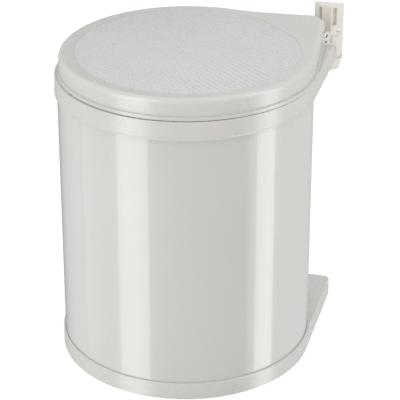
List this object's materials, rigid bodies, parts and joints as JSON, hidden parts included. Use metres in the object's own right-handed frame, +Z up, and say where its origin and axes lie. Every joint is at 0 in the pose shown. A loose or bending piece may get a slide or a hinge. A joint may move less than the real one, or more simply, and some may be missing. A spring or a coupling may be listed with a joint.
{
  "type": "built-in trash can",
  "caption": "Round swing-out waste bin for a cabinet with a hinged door: coated steel shell, plastic ring, base and lid, inner bucket and a bracket for the side wall.",
  "frame": {"origin": "on the axis of the round bin, at the plane of the floor that its base stands on", "axes": "+Z up; +Y towards the cabinet side wall that carries the bracket; +X towards the cabinet door, with the swing axis in the corner between +X and +Y"},
  "size_m": [0.2726, 0.2803, 0.347],
  "materials": {
    "coated_steel": "glossy off-white coating with a faint green cast",
    "body_plastic": "moulded warm off-white plastic, satin",
    "bracket_plastic": "moulded cream plastic",
    "zinc_steel": "zinc plated",
    "acetal": "natural acetal",
    "soft_rubber": "soft grey rubber",
    "bucket_plastic": "moulded dark grey plastic"
  },
  "bodies": {
    "wall_mount": {"wall_bracket": "bracket_plastic", "swing_pin": "zinc_steel", "pin_clip": "zinc_steel", "lift_cam": "acetal"},
    "bin": {"outer_shell": "coated_steel", "base_tray": "body_plastic", "top_ring": "body_plastic", "upper_bush": "acetal", "lower_bush": "acetal", "ring_screws": "zinc_steel", "base_screws": "zinc_steel", "lid_buffers": "soft_rubber", "foot_bush": "acetal", "inner_bucket": "bucket_plastic", "bucket_handle": "zinc_steel", "handle_grip": "bucket_plastic", "lid_pins": "zinc_steel"},
    "lid": {"lid_cover": "body_plastic", "lift_lever": "acetal", "lever_screws": "zinc_steel"}
  },
  "joints": [
    {"name": "bin_swing", "type": "hinge", "parent": "wall_mount", "child": "bin", "pos_m": [0.1215, 0.1215, 0.3], "axis": [0, 0, 1], "range_deg": [0, 95]},
    {"name": "lid_tilt", "type": "hinge", "parent": "bin", "child": "lid", "pos_m": [0.11372, 0.11372, 0.325], "axis": [-0.7071, 0.7071, 0], "range_deg": [0, 60]}
  ],
  "couplings": [
    {"joint": "lid_tilt", "follows": "bin_swing", "ratio": 0.6315}
  ]
}
